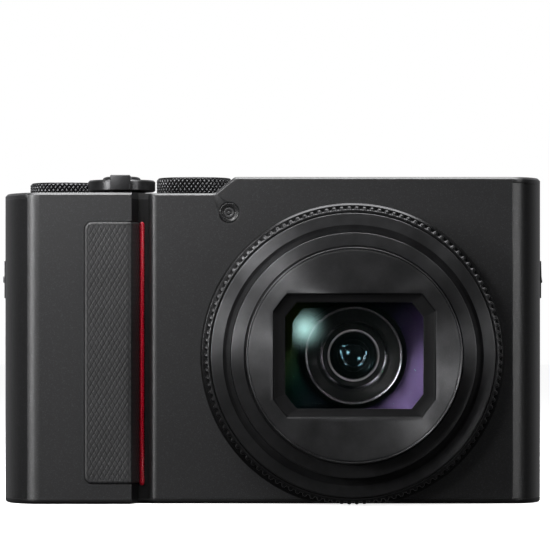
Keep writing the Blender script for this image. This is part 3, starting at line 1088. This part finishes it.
# thumb rest: soft moulded pad with rows of small pips
lo, hi = B("thumb_rest")
tx, tz = (lo[0] + hi[0]) / 2, (lo[2] + hi[2]) / 2
w_, h_ = (hi[0] - lo[0]) / 2, (hi[2] - lo[2]) / 2
tr = loops("thumb_pad", [(w_, h_, 3.0, lo[1]), (w_ - 0.1, h_ - 0.1, 2.9, lo[1] + 0.5), (w_ - 0.35, h_ - 0.35, 2.7, hi[1] - 0.35), (w_ - 0.7, h_ - 0.7, 2.4, hi[1] - 0.12), (w_ - 1.2, h_ - 1.2, 2.0, hi[1] - 0.08)],
           (tx, tz), [M["rubber"]], sharp=50)
pips = [tr]
for i in range(11):
    for j in range(12):
        px, pz = tx + (i - 5) * 1.25, tz + (j - 5.5) * 1.25
        if abs(px - tx) < w_ - 1.5 and abs(pz - tz) < h_ - 1.5:
            pips.append(lathe("pip", [(0.42, hi[1] - 0.12, 0), (0.36, hi[1] - 0.05, 0), (0.22, hi[1], 0), (0.0, hi[1] + 0.0, 0)], (px, pz), "Y", [M["rubber"]], n=14, closed=False, seg=1, sharp=60))
put(join(pips, "thumb_rest_pips"), "thumb_rest")

# rear buttons: domed caps with a fine concentric finish
for n in ("lvf_button", "af_lock_button", "playback_button", "quick_menu_button", "display_button"):
    lo, hi = B(n)
    cx, cz, R = (lo[0] + hi[0]) / 2, (lo[2] + hi[2]) / 2, (hi[0] - lo[0]) / 2 - 0.6
    put(lathe(n + "_cap", [(0.0, lo[1], 0), (R + 0.6, lo[1], 0), (R + 0.6, 13.2, 0), (R, 13.2, 0), (R, hi[1] - 0.35, 0.15), (R - 0.3, hi[1] - 0.06, 0.2), (R * 0.5, hi[1] - 0.01, 0.5), (0.0, hi[1], 0)],
              (cx, cz), "Y", [M["plastic"]], n=96, closed=False, sharp=50), n)

lo, hi = B("cursor_pad")
px, pz = (lo[0] + hi[0]) / 2, (lo[2] + hi[2]) / 2
cp = lathe("cursor_disc", [(4.0, lo[1], 0), (8.5, lo[1], 0.1), (8.5, hi[1] - 0.4, 0.2), (8.1, hi[1], 0.15), (7.2, hi[1] - 0.18, 0.5), (5.6, hi[1] - 0.24, 0.5), (4.4, hi[1] - 0.1, 0.15), (4.0, hi[1] - 0.3, 0.1)],
           (px, pz), "Y", [M["plastic"]], n=160, sharp=50)
bits = [cp]
for q in range(4):
    t = q * math.pi / 2
    tri = [(-0.75, 6.2), (0.75, 6.2), (0.0, 7.2)]
    V = []
    for y in (hi[1] - 0.30, hi[1] - 0.08):
        for x, z in tri:
            V.append((px + x * math.cos(t) - z * math.sin(t), y, pz + x * math.sin(t) + z * math.cos(t)))
    bits.append(make("arrow", V, [(0, 1, 2), (3, 4, 5), (0, 1, 4, 3), (1, 2, 5, 4), (2, 0, 3, 5)], [M["white_mark"]], None, 20))
put(join(bits, "cursor_disc_arrows"), "cursor_pad")
lo, hi = B("set_button")
put(lathe("set_cap", [(0.0, lo[1], 0), (3.4, lo[1], 0), (3.4, hi[1] - 0.4, 0.15), (3.1, hi[1] - 0.06, 0.2), (1.6, hi[1] - 0.02, 0.5), (0.0, hi[1], 0)], (px, pz), "Y", [M["plastic"]], n=96, closed=False, sharp=50), "set_button")

lo, hi = B("diopter_wheel")
dx, dz, dr = (lo[0] + hi[0]) / 2, (lo[2] + hi[2]) / 2, (hi[0] - lo[0]) / 2
dth = np.linspace(0, 2 * math.pi, 36 * 8, endpoint=False)
dk = np.clip(np.cos(dth * 36) * 0.5 + 0.5, 0, 1)
drl = [(1.0, lo[1]), (1.0, 14.6), (dr - 0.4, 14.6), (dr - 0.2 + 0.0 * dk, 14.68), (dr - 0.22 * dk, 14.85), (dr - 0.22 * dk, 15.5), (dr - 0.12 - 0.1 * dk, 15.72), (dr - 0.4, hi[1] - 0.03), (dr - 0.7, hi[1]), (0.02, hi[1] - 0.05)]
put(rings("diopter_knob", drl, dth, (dx, dz), "Y", [M["plastic"]], None, caps=(True, True), sharp=50), "diopter_wheel")

# tripod socket: nickel insert with a cut thread
lo, hi = B("tripod_socket")
tc = ((lo[0] + hi[0]) / 2, (lo[1] + hi[1]) / 2)
prof = [(7.5, 1.0, 0), (7.5, 2.0, 0), (5.15, 2.0, 0), (5.15, hi[2], 0), (0.0, hi[2], 0)]
inner = []
z = 5.2
prof2 = [(0.02, 5.2)]
k = 0
while z > 0.5:
    prof2 += [(2.62, z), (3.1, z - 0.32), (3.1, z - 0.42), (2.62, z - 0.74)]
    z -= 1.27 * 0.66
prof2 += [(2.62, 0.35), (3.0, 0.02), (5.0, 0.0), (5.15, 0.12), (5.15, 1.0)]
rl = [(r, z) for r, z in prof2] + [(7.5, 1.0), (7.5, 2.0), (5.15, 2.0), (5.15, hi[2]), (0.02, hi[2])]
put(rings("tripod_insert", rl, np.linspace(0, 2 * math.pi, 96, endpoint=False), tc, "Z", [M["nickel"]], None, caps=(True, True), sharp=35), "tripod_socket")

# screws: domed heads with a cross recess
src = frame["nodes"]["body_screws"].data
co = np.empty(len(src.vertices) * 3); src.vertices.foreach_get("co", co)
co = co.reshape(-1, 3) * 1000
cent = []
for p in co[:, :2]:
    for i, c in enumerate(cent):
        if np.hypot(*(c[0] - p)) < 4:
            c[1].append(p)
            break
    else:
        cent.append([p, [p]])
bits = []
for c in cent:
    pts = np.array(c[1])
    cx, cy = (pts[:, 0].min() + pts[:, 0].max()) / 2, (pts[:, 1].min() + pts[:, 1].max()) / 2
    n = 64
    th = np.linspace(0, 2 * math.pi, n, endpoint=False)
    cross = np.where((np.abs(np.sin(2 * th)) < 0.42), 1.0, 0.0)
    rl = [(0.02, 0.55), (0.15, 0.5), (0.35 + 0 * th, 0.14 + 0.3 * cross), (0.80 + 0 * th, 0.09 + 0.18 * cross), (0.95, 0.08), (1.2, 0.10), (1.42, 0.2), (1.45, 0.3), (1.45, 0.62), (0.7, 0.62), (0.7, 3.4), (0.02, 3.7)]
    bits.append(rings("screw", rl, th, (cx, cy), "Z", [M["steel_dark"]], None, caps=(True, True), sharp=35))
put(join(bits, "body_screws_cross"), "body_screws")

# ------------------------------------------------------------------ inner pieces keep their CAD form, with their own materials
for n, mt in (("lens_housing", "inner"), ("image_sensor", "sensor"), ("zoom_motor", "can"), ("main_board", "pcb"), ("battery", "battery"), ("battery_holder", "inner"),
              ("port_sockets", "nickel"), ("flash_capacitor", "sleeve"), ("zoom_group", "baffle"), ("cursor_gimbal", "inner")):
    o = frame["nodes"][n]
    o.data.materials.clear()
    o.data.materials.append(M[mt])

# ------------------------------------------------------------------ stage, light, camera
D = bpy.data
sc = bpy.context.scene
BXM = (CAD_BOX[0][0] + CAD_BOX[1][0]) / 2 if not hasattr(CAD_BOX[0], "x") else (CAD_BOX[0].x + CAD_BOX[1].x) / 2


def stage_plane(name, verts, mat):
    me = D.meshes.new(name)
    me.from_pydata(verts, [], [(0, 1, 2, 3)])
    me.materials.append(mat)
    o = D.objects.new(name, me)
    sc.collection.objects.link(o)
    return o


fm, nt, b = tree("pale_floor")
co = coord(nt)
S(nt, b, Base_Color=mixc(nt, noise(nt, co, 6, 3.0), (0.84, 0.84, 0.84), (0.88, 0.88, 0.88)))
b.inputs["Roughness"].default_value = 0.7
b.inputs["Specular IOR Level"].default_value = 0.1
b.inputs["Emission Color"].default_value = (1, 1, 1, 1)
b.inputs["Emission Strength"].default_value = 0.82
stage_plane("floor", [(-6, -6, 0), (6, -6, 0), (6, 6, 0), (-6, 6, 0)], fm)
fl = D.objects["floor"]
fl.visible_glossy = False
fl.visible_diffuse = False
fl.visible_transmission = False

world = D.worlds.new("studio")
sc.world = world
world.use_nodes = True
wt = world.node_tree
wt.nodes.clear()
wo = wt.nodes.new("ShaderNodeOutputWorld")
bg_cam = N(wt, "ShaderNodeBackground", Color=(1, 1, 1, 1), Strength=1.0)
# a pale room behind the object and a dim one in front, so that the black surfaces stay black
sp = N(wt, "ShaderNodeSeparateXYZ", Vector=N(wt, "ShaderNodeTexCoord").outputs["Generated"])
back = rng(wt, sp.outputs[1], 0.05, 0.75, 0.0, 1.0)
up = rng(wt, sp.outputs[2], -0.35, 0.5, 0.25, 1.0)
lev = mixc(wt, math_(wt, "MULTIPLY", back, up), (0.012, 0.012, 0.0125), (0.50, 0.50, 0.51))
bg = N(wt, "ShaderNodeBackground", Color=lev, Strength=1.0)
lp = N(wt, "ShaderNodeLightPath").outputs["Is Camera Ray"]
mx_ = N(wt, "ShaderNodeMixShader", Fac=lp)
wt.links.new(bg.outputs[0], mx_.inputs[1])
wt.links.new(bg_cam.outputs[0], mx_.inputs[2])
wt.links.new(mx_.outputs[0], wo.inputs[0])

AIM = Vector((0.013, -0.015, 0.034))


def softbox(name, pos, w, h, radiance, aim=AIM, shape="RECTANGLE", soft=1.0, spread=180.0):
    """A soft lamp at pos, facing aim. Its face is brightest in the middle and fades to its edges, faster for a higher soft."""
    pos = Vector(pos)
    l = D.lights.new(name, "AREA")
    l.shape = shape
    l.size, l.size_y = w, h
    l.energy = radiance * math.pi * w * h
    l.spread = math.radians(spread)
    if soft:
        l.use_nodes = True
        lt = l.node_tree
        em = next(n for n in lt.nodes if n.type == "EMISSION")
        uv = N(lt, "ShaderNodeNewGeometry").outputs["Parametric"]
        d = N(lt, "ShaderNodeVectorMath", {"operation": "SUBTRACT"}, i0=uv, i1=(0.5, 0.5, 0.0)).outputs[0]
        d = N(lt, "ShaderNodeVectorMath", {"operation": "MULTIPLY"}, i0=d, i1=(1.0, 1.0, 0.0)).outputs[0]
        d = N(lt, "ShaderNodeVectorMath", {"operation": "LENGTH"}, i0=d).outputs["Value"]
        f = N(lt, "ShaderNodeMapRange", {"interpolation_type": "SMOOTHSTEP"}, Value=d, From_Min=0.0, From_Max=0.5, To_Min=1.0, To_Max=0.0).outputs[0]
        lt.links.new(math_(lt, "POWER", f, soft), em.inputs["Strength"])
    o = D.objects.new(name, l)
    o.location = pos
    o.rotation_euler = (aim - pos).to_track_quat("-Z", "Y").to_euler()
    sc.collection.objects.link(o)
    return o


def toward(off, inplane, dist, aim=AIM):
    """off: degrees from the lens axis; inplane: degrees above +X seen from the front (180 is left)."""
    o_, p_ = math.radians(off), math.radians(inplane)
    return aim + Vector((math.sin(o_) * math.cos(p_), -math.cos(o_), math.sin(o_) * math.sin(p_))) * dist


HIGH = Vector((0.0, -0.015, 0.060))
softbox("key_left", toward(21.2, 149, 0.75), 0.40, 0.40, 11.0, shape="ELLIPSE", soft=4.0)
softbox("wedge_left", toward(50, 132, 0.70), 0.15, 0.15, 40.0, HIGH)
softbox("left_strip", toward(51, 167, 0.70), 0.20, 0.34, 60.0, HIGH)
softbox("top_near", (-0.055, -0.095, 0.122), 0.12, 0.05, 27.0, Vector((0.0, -0.015, 0.050)))
softbox("overhead", (0.013, -0.02, 0.62), 0.60, 0.26, 15.0, soft=0)
softbox("upper_right", toward(56, 45, 0.75), 0.16, 0.20, 15.0, HIGH)
softbox("lower_right", toward(60, -45, 0.75), 0.20, 0.20, 3.0)
softbox("right_strip", toward(50, 8, 0.8), 0.12, 0.40, 34.0, HIGH)

cam = D.cameras.new("camera")
cam.sensor_width = 36.0
cam.lens = 271.0
cam.clip_start, cam.clip_end = 0.05, 20
cam.shift_y = 0.127
co_ = D.objects.new("camera", cam)
co_.location = (0.01346, -0.865, 0.0326)
co_.rotation_euler = (math.radians(90), 0, 0)
sc.collection.objects.link(co_)
sc.camera = co_
sc.view_settings.view_transform = "Standard"
